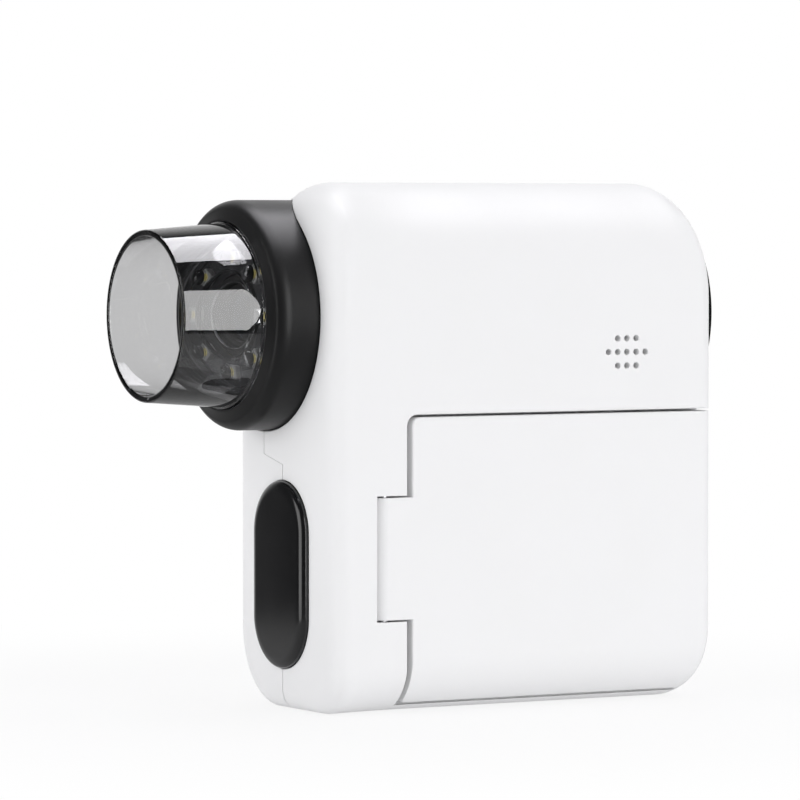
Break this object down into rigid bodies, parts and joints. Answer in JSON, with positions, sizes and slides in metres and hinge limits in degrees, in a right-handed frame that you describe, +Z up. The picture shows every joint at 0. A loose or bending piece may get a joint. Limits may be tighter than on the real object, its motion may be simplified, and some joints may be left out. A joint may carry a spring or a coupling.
{
  "type": "handheld digital microscope",
  "caption": "Palm-sized digital microscope with a clear light tube, a focus ring, a fold-out screen and rear keys.",
  "frame": {"origin": "centre of the whole microscope's box, on the surface that it stands on", "axes": "+X runs back along the lens axis from the light tube to the rear fascia, +Y towards the palm side away from the fold-out screen, +Z up"},
  "size_m": [0.0952, 0.0446, 0.084],
  "materials": {
    "white_shell": "satin white moulded plastic",
    "satin_black": "satin black moulded plastic",
    "gloss_black": "polished black",
    "inner_black": "matt black",
    "clear_plastic": "polished clear plastic",
    "lens_glass": "polished",
    "light_phosphor": "moulded resin",
    "board_black": "solder mask",
    "board_green": "solder mask",
    "chip": "moulded resin",
    "battery_foil": "laminated foil pouch",
    "steel": "plated",
    "key_rubber": "matt",
    "display": "dark panel"
  },
  "bodies": {
    "housing": {"grip_shell": "white_shell", "screen_side_shell": "white_shell", "lens_carrier": "inner_black", "light_tube": "clear_plastic", "led_cover": "clear_plastic", "led_board": "board_black", "led_1": "light_phosphor", "led_2": "light_phosphor", "led_3": "light_phosphor", "led_4": "light_phosphor", "led_5": "light_phosphor", "led_6": "light_phosphor", "led_7": "light_phosphor", "led_8": "light_phosphor", "sensor_holder": "inner_black", "sensor_filter": "lens_glass", "image_sensor": "chip", "sensor_board": "board_green", "main_board": "board_green", "processor": "chip", "battery": "battery_foil", "speaker": "inner_black", "usb_socket": "steel", "card_socket": "steel", "rear_fascia": "gloss_black", "key_membrane": "key_rubber", "key_board": "board_green", "front_plaque": "gloss_black", "hinge_pin": "steel", "case_screw_1": "steel", "case_screw_2": "steel", "case_screw_3": "steel", "case_screw_4": "steel"},
    "focus": {"focus_ring": "satin_black"},
    "lens_cell": {"lens_barrel": "inner_black", "front_lens": "lens_glass", "rear_lens": "lens_glass", "lens_retainer": "steel", "cam_pin": "steel"},
    "screen": {"screen_cover": "white_shell", "display_panel": "display", "display_frame": "satin_black", "display_window": "lens_glass"},
    "shutter": {"shutter_key": "gloss_black"},
    "light_button": {"light_key": "gloss_black"},
    "zoom_in_button": {"zoom_in_key": "gloss_black"},
    "menu_button": {"menu_key": "gloss_black"},
    "zoom_out_button": {"zoom_out_key": "gloss_black"}
  },
  "joints": [
    {"name": "screen_swing", "type": "hinge", "parent": "housing", "child": "screen", "pos_m": [-0.0161, -0.02025, 0.015], "axis": [0, 0, -1], "range_deg": [0, 90]},
    {"name": "focus_turn", "type": "hinge", "parent": "housing", "child": "focus", "pos_m": [-0.0262, 0.00075, 0.0628], "axis": [1, 0, 0], "range_deg": [-60, 60]},
    {"name": "lens_slide", "type": "slide", "parent": "housing", "child": "lens_cell", "axis": [1, 0, 0], "range_m": [-0.00201, 0.00201]},
    {"name": "shutter_press", "type": "slide", "parent": "housing", "child": "shutter", "axis": [-1, 0, 0], "range_m": [0, 0.0004], "stiffness_N_per_m": 1500, "springref_m": -0.0003},
    {"name": "light_press", "type": "slide", "parent": "housing", "child": "light_button", "axis": [-1, 0, 0], "range_m": [0, 0.0004], "stiffness_N_per_m": 1500, "springref_m": -0.0003},
    {"name": "zoom_in_press", "type": "slide", "parent": "housing", "child": "zoom_in_button", "axis": [-1, 0, 0], "range_m": [0, 0.0004], "stiffness_N_per_m": 1500, "springref_m": -0.0003},
    {"name": "menu_press", "type": "slide", "parent": "housing", "child": "menu_button", "axis": [-1, 0, 0], "range_m": [0, 0.0004], "stiffness_N_per_m": 1500, "springref_m": -0.0003},
    {"name": "zoom_out_press", "type": "slide", "parent": "housing", "child": "zoom_out_button", "axis": [-1, 0, 0], "range_m": [0, 0.0004], "stiffness_N_per_m": 1500, "springref_m": -0.0003}
  ],
  "couplings": [
    {"joint": "lens_slide", "follows": "focus_turn", "m_per_rad": -0.0019099}
  ]
}
